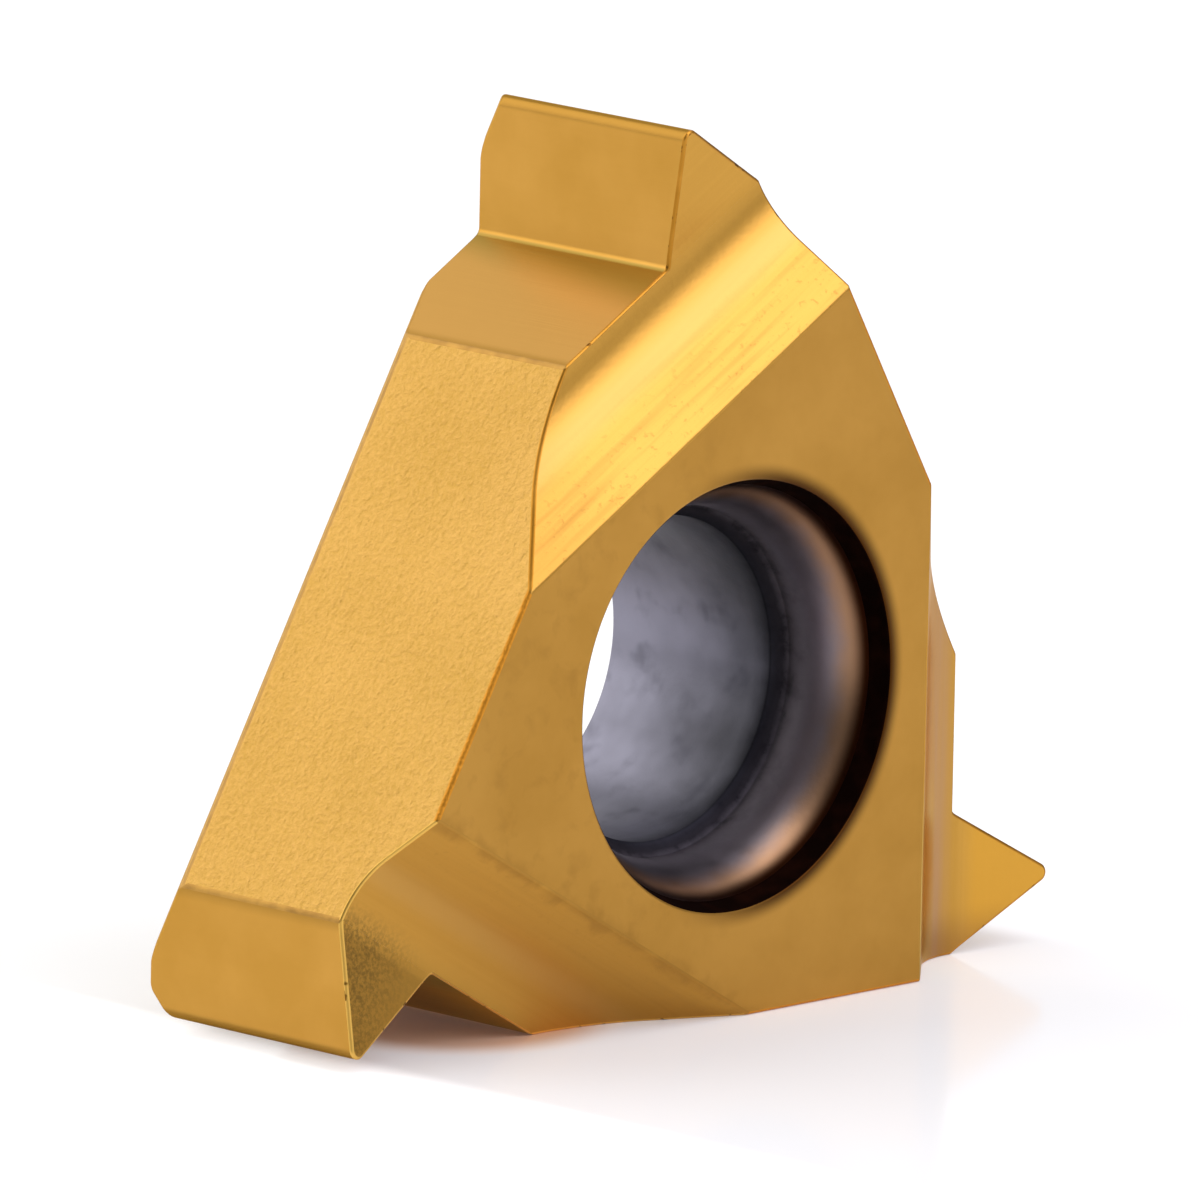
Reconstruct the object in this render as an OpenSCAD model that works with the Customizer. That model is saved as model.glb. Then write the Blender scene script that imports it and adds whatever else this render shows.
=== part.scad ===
// Laydown threading insert: one solid triangular body of coated cemented
// carbide, a countersunk screw hole through it, and at each corner the same
// ground V tooth, stop shoulder and chip groove.
// It stands on one long side as in the photograph. X runs to the right, Z up,
// and the front face looks towards -Y. The origin is the middle of the screw
// hole at the back face. All sizes are in millimetres.

/* [View] */
// Which node to draw

/* [Body] */
// Diameter of the circle that touches the three long sides
inscribed_circle = 6.35; // [4:0.05:13]
// Distance from the front face to the back face
thickness = 3.3; // [2:0.05:6]
// Leg of the 45 degree chamfer round the back face
back_chamfer = 0.4; // [0:0.05:0.8]

/* [Screw hole] */
// Diameter of the hole where it breaks the front face
rim_diameter = 4.22; // [3:0.02:6]
// Depth of the nearly straight wall under the rim
rim_depth = 0.31; // [0.1:0.01:1]
// Radius of the rounded seat for the screw head, seen in the hole's section
seat_radius = 1; // [0.8:0.05:1.6]
// Diameter at the foot of the rounded seat
seat_foot_diameter = 3.46; // [3:0.02:5]
// Depth of the foot of the rounded seat
seat_foot_depth = 1; // [0.6:0.02:1.6]
// Diameter of the straight bore for the screw, a short 45 degree step below the seat
bore_diameter = 3.2; // [2:0.02:4]

/* [Chip groove] */
// Distance from the stop shoulder back to the edge where the groove leaves the face
groove_width = 1.132; // [0.8:0.01:1.6]
// Steepness of the groove's inner wall below the face
groove_wall_angle = 43; // [20:1:70]
// Depth at which the inner wall and the rake would meet if the bottom were sharp
groove_depth = 0.762; // [0.2:0.01:1.5]
// Radius of the groove's bottom
groove_radius = 0.93; // [0.2:0.01:1.4]
// Rise of the rake from the groove's bottom towards the nose
rake_angle = 10; // [0:1:20]

/* [Tooth] */
// Full angle of the V profile
profile_angle = 60; // [50:1:60]
// Distance from the side of the insert to the middle line of the tooth
tooth_setback = 0.707; // [0.4:0.01:1.6]
// How far the point that the flanks would meet in stays below the blank's sharp corner
corner_setback = 0.488; // [0.3:0.01:1]
// Radius of the nose
nose_radius = 0.1; // [0.03:0.01:0.3]
// Height of the V from the stop shoulder to that point
profile_height = 1.255; // [0.8:0.01:1.6]
// Radius in the inner corner between the shoulder and the flank
notch_radius = 0.09; // [0.02:0.01:0.3]

/* [Hidden] */
$fn = 96;
side = inscribed_circle / 2;
reach = 4 * side;
half_profile = profile_angle / 2;

// Distances from the hole's axis, each along the tooth
tooth_reach = side * sqrt(3) - corner_setback;
shoulder_height = tooth_reach - profile_height;
groove_edge = shoulder_height - groove_width;

// Hole: the centre of the seat's arc in the section, the radius where the arc
// meets the wall under the rim, and the depth where the step ends in the bore
seat_centre = [seat_foot_diameter / 2 + seat_radius, -seat_foot_depth];
seat_top = seat_centre[0] - sqrt(pow(seat_radius, 2) - pow(seat_foot_depth - rim_depth, 2));
bore_start = seat_foot_depth + (seat_foot_diameter - bore_diameter) / 2;
rim_taper = (rim_diameter / 2 - seat_top) / rim_depth;

// Groove: the sharp corner, the two tangent points and the centre of the round
corner_x = groove_edge + groove_depth / tan(groove_wall_angle);
tangent_run = groove_radius * tan((groove_wall_angle + rake_angle) / 2);
wall_end = [corner_x - tangent_run * cos(groove_wall_angle),
            -groove_depth + tangent_run * sin(groove_wall_angle)];
rake_start = [corner_x + tangent_run * cos(rake_angle),
              -groove_depth + tangent_run * sin(rake_angle)];
round_centre = wall_end + groove_radius * [sin(groove_wall_angle), cos(groove_wall_angle)];

// Tooth: its middle line, the foot of each flank and the centre of the nose
tooth_line = side - tooth_setback;
foot = (tooth_reach - shoulder_height) * tan(half_profile);
notch = [tooth_line - foot, shoulder_height];
nose_centre = [tooth_line, tooth_reach - nose_radius / sin(half_profile)];
notch_run = notch_radius * tan((90 - half_profile) / 2);

// The body before grinding: three sides, two faces and the back chamfers.
// Depth runs along -z here, the front face lies at z = 0.
module blank() {
    intersection() {
        translate([-reach, -reach, -thickness])
            cube([2 * reach, 2 * reach, thickness]);
        intersection_for (turn = [30, 150, 270]) rotate([0, 0, turn])
            translate([side - 2 * reach, -reach, -reach])
                cube([2 * reach, 2 * reach, 2 * reach]);
        intersection_for (turn = [30, 150, 270]) rotate([0, 0, turn])
            translate([side, 0, back_chamfer - thickness])
                rotate([0, 45, 0])
                    translate([-2 * reach, -reach, -reach])
                        cube([2 * reach, 2 * reach, 2 * reach]);
    }
}

// What the profile grinding takes away beside and beyond one tooth, seen from
// the front with x towards the insert's side and y towards the nose
module profile_waste() {
    difference() {
        translate([-reach, shoulder_height]) square([2 * reach, reach]);
        polygon([[tooth_line - foot, shoulder_height - 1],
                 notch,
                 nose_centre + nose_radius * [-cos(half_profile), sin(half_profile)],
                 nose_centre + nose_radius * [cos(half_profile), sin(half_profile)],
                 [tooth_line + foot, shoulder_height],
                 [tooth_line + foot, shoulder_height - 1]]);
        translate(nose_centre) circle(r = nose_radius);
        difference() {
            polygon([notch + [0, -0.5],
                     notch - [notch_run, 0.5],
                     notch - [notch_run, 0],
                     notch + notch_run * [sin(half_profile), cos(half_profile)],
                     notch + [0.01, 0]]);
            translate(notch + [-notch_run, notch_radius]) circle(r = notch_radius);
        }
    }
}

// Cross-section of the chip groove: x away from the hole's axis, y out of the face
module groove_section() {
    polygon([[groove_edge - 0.5 / tan(groove_wall_angle), 0.5],
             wall_end,
             rake_start,
             rake_start + reach * [1, tan(rake_angle)],
             [rake_start[0] + reach, reach]]);
    translate(round_centre) circle(r = groove_radius);
}

// The screw hole, opening at the front face: a short wall under the rim, a seat
// that bulges towards the screw, a step and the straight bore
module screw_hole() {
    rotate_extrude() difference() {
        polygon([[0, 0.5],
                 [rim_diameter / 2 + 0.5 * rim_taper, 0.5],
                 [seat_top, -rim_depth],
                 [seat_top, -seat_foot_depth],
                 [seat_foot_diameter / 2, -seat_foot_depth],
                 [bore_diameter / 2, -bore_start],
                 [bore_diameter / 2, -thickness - 0.5],
                 [0, -thickness - 0.5]]);
        translate(seat_centre) circle(r = seat_radius);
    }
}

module insert() {
    color([0.8, 0.6, 0.26])
        rotate([90, 0, 0]) translate([0, 0, thickness])
            difference() {
                blank();
                for (turn = [30, 150, 270]) rotate([0, 0, turn]) {
                    translate([0, 0, -thickness - 0.5])
                        linear_extrude(height = thickness + 1) profile_waste();
                    rotate([90, 0, 90]) translate([0, 0, -reach])
                        linear_extrude(height = 2 * reach) groove_section();
                }
                screw_hole();
            }
}

insert();
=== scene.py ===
import math
import bmesh
import bpy
from mathutils import Matrix, Vector
from mathutils.kdtree import KDTree


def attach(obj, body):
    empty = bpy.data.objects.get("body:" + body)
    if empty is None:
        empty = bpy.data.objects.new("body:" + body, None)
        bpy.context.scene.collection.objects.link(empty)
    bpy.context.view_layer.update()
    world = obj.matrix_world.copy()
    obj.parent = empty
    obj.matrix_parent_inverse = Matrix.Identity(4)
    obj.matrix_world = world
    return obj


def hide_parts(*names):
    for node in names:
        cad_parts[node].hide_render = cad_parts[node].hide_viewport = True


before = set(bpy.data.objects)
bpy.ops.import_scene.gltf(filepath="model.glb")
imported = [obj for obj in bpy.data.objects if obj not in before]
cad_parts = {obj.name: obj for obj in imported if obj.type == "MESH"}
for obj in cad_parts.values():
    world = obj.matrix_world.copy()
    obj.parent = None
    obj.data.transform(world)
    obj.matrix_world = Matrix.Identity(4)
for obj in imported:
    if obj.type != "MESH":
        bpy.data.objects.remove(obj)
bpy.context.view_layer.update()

print("frame loaded:", sorted(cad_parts))


def srgbToLinear(hexColour):
    # "#rrggbb" as it is picked from a screen, turned into the linear values that the shaders want
    parts = [int(hexColour[i:i + 2], 16) / 255 for i in (1, 3, 5)]
    return tuple(c / 12.92 if c <= 0.04045 else ((c + 0.055) / 1.055) ** 2.4 for c in parts) + (1.0,)


def addNode(tree, kind, settings=None, values=None, links=None, ramp=None):
    # settings are the node's own options, values its unlinked inputs, where a colour is hex. Each link feeds
    # an input from the first output that a node has in use, or from the one named in (node, output).
    # ramp lists a colour ramp's stops as (place, grey level or hex colour)
    node = tree.nodes.new("ShaderNode" + kind)
    for name, value in (settings or {}).items():
        setattr(node, name, value)
    for name, value in (values or {}).items():
        node.inputs[name].default_value = srgbToLinear(value) if isinstance(value, str) else value
    for name, source in (links or {}).items():
        if isinstance(source, tuple):
            output = source[0].outputs[source[1]]
        else:
            output = next(socket for socket in source.outputs if socket.enabled)
        tree.links.new(output, node.inputs[name])
    for i, (place, colour) in enumerate(ramp or []):
        elements = node.color_ramp.elements
        stop = elements[i] if i < 2 else elements.new(place)
        stop.position = place
        stop.color = srgbToLinear(colour) if isinstance(colour, str) else (colour, colour, colour, 1.0)
    return node


def layColours(tree, colour, layers):
    # each layer is a hex colour and its masks; it covers the ones before as far as the masks' product says
    for hexColour, mask, *otherMasks in layers:
        for other in otherMasks:
            mask = addNode(tree, "Math", {"operation": "MULTIPLY"}, links={0: mask, 1: other})
        colour = addNode(tree, "Mix", {"data_type": "RGBA"}, {"B": hexColour}, {"Factor": mask, "A": colour})
    return colour


def startMaterial(name):
    material = bpy.data.materials.new(name)
    material.use_nodes = True
    material.node_tree.nodes.clear()
    return material, material.node_tree


def finishMaterial(tree, shaderValues, colour, rough, bump):
    # shaderValues are the same all over, and the three others vary from place to place
    shader = addNode(tree, "BsdfPrincipled", None, shaderValues,
                     {"Base Color": colour, "Roughness": rough, "Normal": bump})
    addNode(tree, "OutputMaterial", links={"Surface": shader})


def addObject(name, data):
    added = bpy.data.objects.new(name, data)
    bpy.context.scene.collection.objects.link(added)
    return added


# sizes of the insert in millimetres and degrees, the same as the solid's apart from the last two
insertSizes = {
    "side": 3.175,               # hole axis to each long side
    "thickness": 3.3,
    "backChamfer": 0.4,
    "blankCorners": (90, 210, 330),
    "teeth": (30, 150, 270),     # each tooth points this much to the left of straight up
    "grooveEdge": 2.6243,        # hole axis to the edge where the groove leaves the face
    "grooveWallAngle": 43,
    "grooveDepth": 0.762,
    "grooveRadius": 0.93,
    "rakeAngle": 10,
    "toothLine": 2.468,          # middle line of the tooth, measured towards the side it is near
    "toothReach": 5.0113,        # where the flanks would meet
    "halfProfile": 30,           # between the middle line and each flank
    "shoulderHeight": 3.7563,
    "noseRadius": 0.1,
    "notchRadius": 0.09,
    "rimRadius": 2.11,
    "wallDepth": 0.31,           # of the short wall under the rim
    "seatRound": 1.0,            # the seat bulges towards the screw with this radius
    "seatFootRadius": 1.73,
    "seatFootDepth": 1.0,
    "boreRadius": 1.6,
    "stepRound": 0.035,          # the step into the bore is worn soft
    "wallRound": 0.09,           # and so is the edge under the wall
}

metresPerMm = 0.001

# how far the tools that cut the blank reach, in millimetres, so that they pass its faces and corners
toolReach = {"beside": 9, "above": 1, "below": -5, "leadIn": 0.5, "rakeRun": 6}

# into how many straight pieces each round is divided
arcSteps = {
    "notch": 8, "nose": 14, "groove": 28, "hole": 160, "wall": 5, "seat": 12, "stepTop": 6, "stepFoot": 7,
}

# the zones of the surface, which are also its material slots
faceZone, sideZone, flankZone, grooveZone, boreZone, wallZone, honedZone, ridgeZone = range(8)


def placeInFrame(point):
    # local: x right, y up, z out of the front face, which is at 0
    # frame: the front face looks towards -Y and the origin is at the back face
    x, y, z = point
    return (x, -(z + insertSizes["thickness"]), y)


def turned(b, a, z, turn):
    # b towards the side the tooth is near, a along the tooth, turned to one of the three corners
    t = math.radians(turn)
    return (b * math.cos(t) - a * math.sin(t), b * math.sin(t) + a * math.cos(t), z)


def arcPoints(centre, radius, start, end, steps):
    angles = [math.radians(start + (end - start) * i / steps) for i in range(steps + 1)]
    return [(centre[0] + radius * math.cos(t), centre[1] + radius * math.sin(t)) for t in angles]


def finishTool(name, mesh, zone):
    bmesh.ops.recalc_face_normals(mesh, faces=mesh.faces)
    for face in mesh.faces:
        face.material_index = zone
    data = bpy.data.meshes.new(name)
    mesh.to_mesh(data)
    mesh.free()
    for material in zoneMaterials:
        data.materials.append(material)
    return addObject(name, data)


def prism(name, outline, place, low, high, zone):
    # outline is a closed line of 2D points; place turns (u, v, depth) into local coordinates
    mesh = bmesh.new()
    rings = [[mesh.verts.new(placeInFrame(place(u, v, d))) for u, v in outline] for d in (low, high)]
    mesh.faces.new(rings[0])
    mesh.faces.new(rings[1][::-1])
    for i in range(len(outline)):
        j = (i + 1) % len(outline)
        mesh.faces.new([rings[0][j], rings[0][i], rings[1][i], rings[1][j]])
    return finishTool(name, mesh, zone)


def makeBlank():
    # triangular prism with the three back edges chamfered; the two faces get the ground finish. Each corner
    # lies twice as far from the middle as the sides do
    s = insertSizes
    mesh = bmesh.new()
    for turn in s["blankCorners"]:
        t = math.radians(turn)
        for side, depth in ((s["side"], 0), (s["side"], s["backChamfer"] - s["thickness"]),
                            (s["side"] - s["backChamfer"], -s["thickness"])):
            mesh.verts.new(placeInFrame((2 * side * math.cos(t), 2 * side * math.sin(t), depth)))
    bmesh.ops.convex_hull(mesh, input=mesh.verts)
    # the hull's triangles that lie flat beside each other become whole faces
    bmesh.ops.dissolve_limit(mesh, angle_limit=0.01, verts=mesh.verts, edges=mesh.edges)
    blank = finishTool("blankTool", mesh, sideZone)
    for polygon in blank.data.polygons:
        if abs(polygon.normal.y) > 0.99:    # it looks straight to the front or the back
            polygon.material_index = faceZone
    return blank


def makeProfileTool(turn):
    # everything beside and beyond one tooth, down to the stop shoulder
    s, reach = insertSizes, toolReach["beside"]
    half = math.radians(s["halfProfile"])
    shoulder = s["shoulderHeight"]
    foot = (s["toothReach"] - shoulder) * math.tan(half)
    notchCentre = (s["toothLine"] - foot - s["notchRadius"] * math.tan(half), shoulder + s["notchRadius"])
    noseCentre = (s["toothLine"], s["toothReach"] - 2 * s["noseRadius"])
    outline = [(-reach, shoulder)]
    outline += arcPoints(notchCentre, s["notchRadius"], -90, -30, arcSteps["notch"])
    outline += arcPoints(noseCentre, s["noseRadius"], 150, 30, arcSteps["nose"])
    outline += [(s["toothLine"] + foot, shoulder), (reach, shoulder), (reach, reach), (-reach, reach)]
    return prism("profileTool", outline, lambda u, v, d: turned(u, v, d, turn),
                 toolReach["above"], toolReach["below"], flankZone)


def makeGrooveTool(turn):
    # the chip groove: straight wall, round bottom and the rake that rises to the nose
    s = insertSizes
    wall, rake = math.radians(s["grooveWallAngle"]), math.radians(s["rakeAngle"])
    radius = s["grooveRadius"]
    run = radius * math.tan((wall + rake) / 2)
    wallEnd = (s["grooveEdge"] + s["grooveDepth"] / math.tan(wall) - run * math.cos(wall),
               -s["grooveDepth"] + run * math.sin(wall))
    centre = (wallEnd[0] + radius * math.sin(wall), wallEnd[1] + radius * math.cos(wall))
    lead, rakeRun = toolReach["leadIn"], toolReach["rakeRun"]
    outline = [(s["grooveEdge"] - lead / math.tan(wall), lead)]
    outline += arcPoints(centre, radius, -90 - s["grooveWallAngle"], -90 + s["rakeAngle"], arcSteps["groove"])
    x, y = outline[-1]
    outline += [(x + rakeRun, y + rakeRun * math.tan(rake)), (x + rakeRun, rakeRun)]
    return prism("grooveTool", outline, lambda u, v, d: turned(d, u, v, turn),
                 -toolReach["beside"], toolReach["beside"], grooveZone)


def holeProfile():
    # radius and depth of the screw hole: short wall, rounded seat, a small soft step and the straight bore
    s = insertSizes
    soft, seatRound = s["wallRound"], s["seatRound"]
    r, foot, footDepth = s["stepRound"], s["seatFootRadius"], s["seatFootDepth"]
    run = r * math.tan(math.pi / 8)
    seatCentre = (foot + seatRound, -footDepth)
    start = 180 - math.degrees(math.asin((footDepth - s["wallDepth"]) / seatRound))
    end = 180 - math.degrees(math.asin(run / seatRound))
    corner = arcPoints(seatCentre, seatRound, start, start, 1)[0]
    seat = arcPoints(seatCentre, seatRound, start + math.degrees(soft / seatRound), end, arcSteps["seat"])
    taper = (s["rimRadius"] - corner[0]) / s["wallDepth"]
    wallFoot = (corner[0] + taper * soft, corner[1] + soft)
    profile = [(s["rimRadius"] + toolReach["leadIn"] * taper, toolReach["leadIn"])]
    # a curve bent at the corner joins the wall and the seat
    for i in range(arcSteps["wall"]):
        t = i / arcSteps["wall"]
        profile.append(tuple((1 - t) ** 2 * a + 2 * t * (1 - t) * b + t * t * c
                             for a, b, c in zip(wallFoot, corner, seat[0])))
    profile += seat
    # the seat's last point stands for the first one of the step's upper round
    stepDepth = footDepth + foot - s["boreRadius"]
    profile += arcPoints((foot - r, run - footDepth), r, -7, -45, arcSteps["stepTop"])
    profile += arcPoints((s["boreRadius"] + r, -stepDepth - run), r, 135, 180, arcSteps["stepFoot"])
    return profile + [(s["boreRadius"], -s["thickness"] - toolReach["leadIn"])]


def makeHoleTool():
    steps = arcSteps["hole"]
    angles = [2 * math.pi * i / steps for i in range(steps)]
    circle = [(math.cos(t), math.sin(t)) for t in angles]
    mesh = bmesh.new()
    rings = [[mesh.verts.new(placeInFrame((radius * x, radius * y, depth))) for x, y in circle]
             for radius, depth in holeProfile()]
    for upper, lower in zip(rings, rings[1:]):
        for i in range(steps):
            j = (i + 1) % steps
            mesh.faces.new([upper[i], upper[j], lower[j], lower[i]])
    mesh.faces.new(rings[0])
    mesh.faces.new(rings[-1][::-1])
    tool = finishTool("holeTool", mesh, boreZone)
    for polygon in tool.data.polygons[:steps]:    # the wall's faces were made first
        polygon.material_index = wallZone
    return tool


# how wide each kind of edge is rounded in mm, and the zone of its rounding; None keeps the neighbours' zones
edgeKinds = {
    "sharp": (0, None),
    "cutting": (0.034, honedZone),
    "groove": (0.028, honedZone),      # where the groove meets the sides
    "faceGroove": (0.014, grooveZone),
    "ridge": (0.03, ridgeZone),        # where a sintered side meets a ground flank
    "body": (0.045, sideZone),
    "back": (0.1, None),
    "groundBack": (0.04, None),
    "rim": (0.03, None),
}

edgeLook = {
    "facetAngle": 14,       # degrees; flatter edges are only the facets of a round
    "backMargin": 0.02,     # mm in front of the back chamfer that still count as the back
    "sampleMm": 0.03,       # spacing of the points that remember an edge's kind
    "segments": 4,
    "joinMm": 0.0001,
}


def edgeKind(edge):
    # told from the zones that meet at the edge and from its depth
    if len(edge.link_faces) != 2 or edge.calc_face_angle(0) < math.radians(edgeLook["facetAngle"]):
        return "sharp"
    zones = {face.material_index for face in edge.link_faces}
    if zones & {boreZone, wallZone}:
        return "rim"
    if all(v.co.y > -insertSizes["backChamfer"] - edgeLook["backMargin"] for v in edge.verts):
        return "groundBack" if flankZone in zones else "back"
    if zones == {flankZone}:
        return "sharp"
    if zones == {flankZone, grooveZone}:
        return "cutting"
    if grooveZone in zones:
        return "faceGroove" if faceZone in zones else "groove"
    return "ridge" if zones == {sideZone, flankZone} else "body"


def cutBlank():
    blank = makeBlank()
    tools = [makeProfileTool(turn) for turn in insertSizes["teeth"]]
    tools += [makeGrooveTool(turn) for turn in insertSizes["teeth"]]
    tools.append(makeHoleTool())
    for tool in tools:
        cut = blank.modifiers.new("cut", "BOOLEAN")
        cut.operation = "DIFFERENCE"
        cut.solver = "EXACT"
        cut.object = tool
    depsgraph = bpy.context.evaluated_depsgraph_get()
    data = bpy.data.meshes.new_from_object(blank.evaluated_get(depsgraph))
    for tool in tools + [blank]:
        bpy.data.objects.remove(tool)
    return data


def weighEdges(data, widest):
    # gives each edge its share of the widest rounding, and lists points along the rounded ones by kind
    mesh = bmesh.new()
    mesh.from_mesh(data)
    bmesh.ops.remove_doubles(mesh, verts=mesh.verts, dist=edgeLook["joinMm"])
    bmesh.ops.dissolve_degenerate(mesh, dist=edgeLook["joinMm"], edges=mesh.edges)
    weights = mesh.edges.layers.float.new("bevel_weight_edge")
    lines = []
    for edge in mesh.edges:
        kind = edgeKind(edge)
        edge[weights] = edgeKinds[kind][0] / widest
        if edgeKinds[kind][0]:
            a, b = (v.co.copy() for v in edge.verts)
            count = max(2, int((b - a).length / edgeLook["sampleMm"]))
            lines.append(([a.lerp(b, i / count) for i in range(count + 1)], kind))
    for face in mesh.faces:
        face.smooth = True
    mesh.to_mesh(data)
    mesh.free()
    return lines


def roundEdges(data, widest, markedSlot):
    data.materials.append(None)    # the slot that marks the new faces
    body = addObject("cutBody", data)
    hone = body.modifiers.new("hone", "BEVEL")
    hone.limit_method = "WEIGHT"
    hone.width = widest
    hone.segments = edgeLook["segments"]
    hone.profile = 0.5
    hone.use_clamp_overlap = False
    hone.loop_slide = True
    hone.material = markedSlot
    normals = body.modifiers.new("normals", "WEIGHTED_NORMAL")
    normals.mode = "FACE_AREA"
    normals.weight = 50
    normals.keep_sharp = False
    depsgraph = bpy.context.evaluated_depsgraph_get()
    rounded = bpy.data.meshes.new_from_object(body.evaluated_get(depsgraph))
    bpy.data.objects.remove(body)
    return rounded


def paintEdges(mesh, lines, markedSlot):
    # the bevel gave all its faces one slot; each now gets the zone of the kind of edge that it lies on
    tree = KDTree(sum(len(points) for points, _ in lines))
    kinds = []
    for points, kind in lines:
        for point in points:
            tree.insert(point, len(kinds))
            kinds.append(kind)
    tree.balance()
    left = []
    for face in mesh.faces:
        if face.material_index == markedSlot:
            _, number, _ = tree.find(face.calc_center_median())
            zone = edgeKinds[kinds[number]][1]
            if zone is None:
                left.append(face)
            else:
                face.material_index = zone
    # faces that keep their neighbours' zone take it from the nearest side, step by step
    while left:
        taken = {}
        for face in left:
            near = [other.material_index for edge in face.edges for other in edge.link_faces
                    if other is not face and other.material_index != markedSlot]
            if near:
                taken[face] = min(near)
        if not taken:
            break
        for face, zone in taken.items():
            face.material_index = zone
        left = [face for face in left if face not in taken]


def addCornerPlace(mesh):
    # gives each face its place in the coordinates of its own corner, in millimetres, for the grinding lines
    places = mesh.loops.layers.float_vector.new("cornerPlace")
    for face in mesh.faces:
        centre = face.calc_center_median()
        turn = max(insertSizes["teeth"],
                   key=lambda t: centre.z * math.cos(math.radians(t)) - centre.x * math.sin(math.radians(t)))
        for loop in face.loops:
            x, y, z = loop.vert.co
            b, a, _ = turned(x, z, 0, -turn)
            loop[places] = (b, a, y)


def buildInsert():
    markedSlot = len(zoneMaterials)
    widest = max(width for width, _ in edgeKinds.values())
    data = cutBlank()
    lines = weighEdges(data, widest)
    rounded = roundEdges(data, widest, markedSlot)
    mesh = bmesh.new()
    mesh.from_mesh(rounded)
    paintEdges(mesh, lines, markedSlot)
    addCornerPlace(mesh)
    mesh.to_mesh(rounded)
    mesh.free()
    rounded.materials.pop(index=markedSlot)
    rounded.transform(Matrix.Scale(metresPerMm, 4))
    rounded.name = "insertBody"
    return addObject("insertBody", rounded)


# in the looks below a pattern's scale is one over its size in millimetres, places are in millimetres from the
# middle of the hole, and each mask goes from To Min to To Max between the two places or pattern levels
smooth = {"interpolation_type": "SMOOTHSTEP"}
grainLift = 0.00001    # metres between the low and the high points of a fine grain


def inMillimetres(tree):
    place = addNode(tree, "TexCoord")
    return addNode(tree, "VectorMath", {"operation": "SCALE"}, {"Scale": 1 / metresPerMm},
                   {0: (place, "Object")})


# out along the tooth at the lower left
lowerLeftDirection = (-math.sin(math.radians(150)), 0, math.cos(math.radians(150)))

groundFaceLook = {
    "gold": [(0.35, "#bf8d3c"), (0.65, "#cb9845")],
    "stain": "#8e6327", "brown": "#8e6325", "rimShade": "#3a1906",
    "cloud": {"Scale": 1 / 1.4, "Detail": 4.0, "Roughness": 0.6},
    "grain": {"Scale": 1 / 0.05, "Detail": 2.0},
    "spots": {"Scale": 1 / 0.3, "Detail": 3.0, "Roughness": 0.55, "Distortion": 0.3},
    "veil": {"Scale": 1 / 0.28, "Detail": 3.0, "Distortion": 0.4}, "veilSway": 0.5,
    "stained": [(0.52, 0.0), (0.80, 0.3)],    # levels of the spots, and how strongly they stain there
    # the stains lie to the left of the hole, and painted shade darkens the rim to its right
    "atLeft": {"From Min": -1.6, "From Max": 0.4, "To Min": 1.0, "To Max": 0.15},
    "atRight": {"From Min": -1.0, "From Max": 0.8},
    "nearRim": {"From Min": insertSizes["rimRadius"], "From Max": insertSizes["rimRadius"] + 0.19,
                "To Min": 0.95, "To Max": 0.0},
    "nearGroove": {"From Min": insertSizes["grooveEdge"] + 0.1, "From Max": insertSizes["grooveEdge"] + 0.38,
                   "To Max": 0.4},
    "rough": {"To Min": 0.35, "To Max": 0.46}, "bump": {"Strength": 0.05, "Distance": grainLift},
}


def makeGroundFace():
    # titanium nitride on lapped carbide: satin gold, cloudy, with a very fine tooth, smudged to the left of
    # the hole and beside the groove at the lower left, and darkened by painted shade at the right of the
    # hole's rim, where it turns into the shaded wall. The back face has only the smudges
    look = groundFaceLook
    material, tree = startMaterial("nitrideOnLappedFace")
    mm = inMillimetres(tree)
    place = addNode(tree, "SeparateXYZ", links={"Vector": mm})
    cloud, grain, spots, veil = (addNode(tree, "TexNoise", None, look[name], {"Vector": mm})
                                 for name in ("cloud", "grain", "spots", "veil"))
    gold = addNode(tree, "ValToRGB", links={"Fac": cloud}, ramp=look["gold"])
    stained = addNode(tree, "ValToRGB", links={"Fac": spots}, ramp=look["stained"])
    atLeft = addNode(tree, "MapRange", smooth, look["atLeft"], {"Value": (place, "X")})
    toLowerLeft = addNode(tree, "VectorMath", {"operation": "DOT_PRODUCT"}, {1: lowerLeftDirection}, {0: mm})
    uneven = addNode(tree, "Math", {"operation": "MULTIPLY_ADD"}, {1: look["veilSway"]},
                     {0: veil, 2: toLowerLeft})
    nearGroove = addNode(tree, "MapRange", smooth, look["nearGroove"], {"Value": uneven})
    atFront = addNode(tree, "Math", {"operation": "LESS_THAN"}, {1: -insertSizes["thickness"] / 2},
                      {0: (place, "Y")})
    flat = addNode(tree, "VectorMath", {"operation": "MULTIPLY"}, {1: (1, 0, 1)}, {0: mm})
    fromAxis = addNode(tree, "VectorMath", {"operation": "LENGTH"}, links={0: flat})
    nearRim = addNode(tree, "MapRange", smooth, look["nearRim"], {"Value": fromAxis})
    # painted shade: a dark brown at the right of the hole's rim, on the front face only
    atRight = addNode(tree, "MapRange", smooth, look["atRight"], {"Value": (place, "X")})
    colour = layColours(tree, gold, [(look["brown"], nearGroove, atFront), (look["stain"], stained, atLeft),
                                     (look["rimShade"], nearRim, atRight, atFront)])
    rough = addNode(tree, "MapRange", None, look["rough"], {"Value": cloud})
    bump = addNode(tree, "Bump", None, look["bump"], {"Height": grain})
    finishMaterial(tree, {"Metallic": 1.0}, colour, rough, bump)
    return material


sinteredSideLook = {
    "gold": [(0.6, "#c69a47"), (1.0, "#d9ab5a")], "edge": "#d99431",
    "grain": {"Scale": 1 / 0.045, "Detail": 3.0, "Roughness": 0.6},
    "lumps": {"Scale": 1 / 0.13, "Detail": 3.0}, "lumpShare": 1.3,
    "cloud": {"Scale": 1 / 1.8, "Detail": 3.0}, "cloudShare": 0.6,
    # the rounding next to the front face
    "atEdge": {"From Min": 0.035 - insertSizes["thickness"], "From Max": 0.065 - insertSizes["thickness"],
               "To Min": 1.0, "To Max": 0.0},
    "rough": {"To Min": 0.44, "To Max": 0.60}, "bump": {"Strength": 0.6, "Distance": 2 * grainLift},
}


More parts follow.
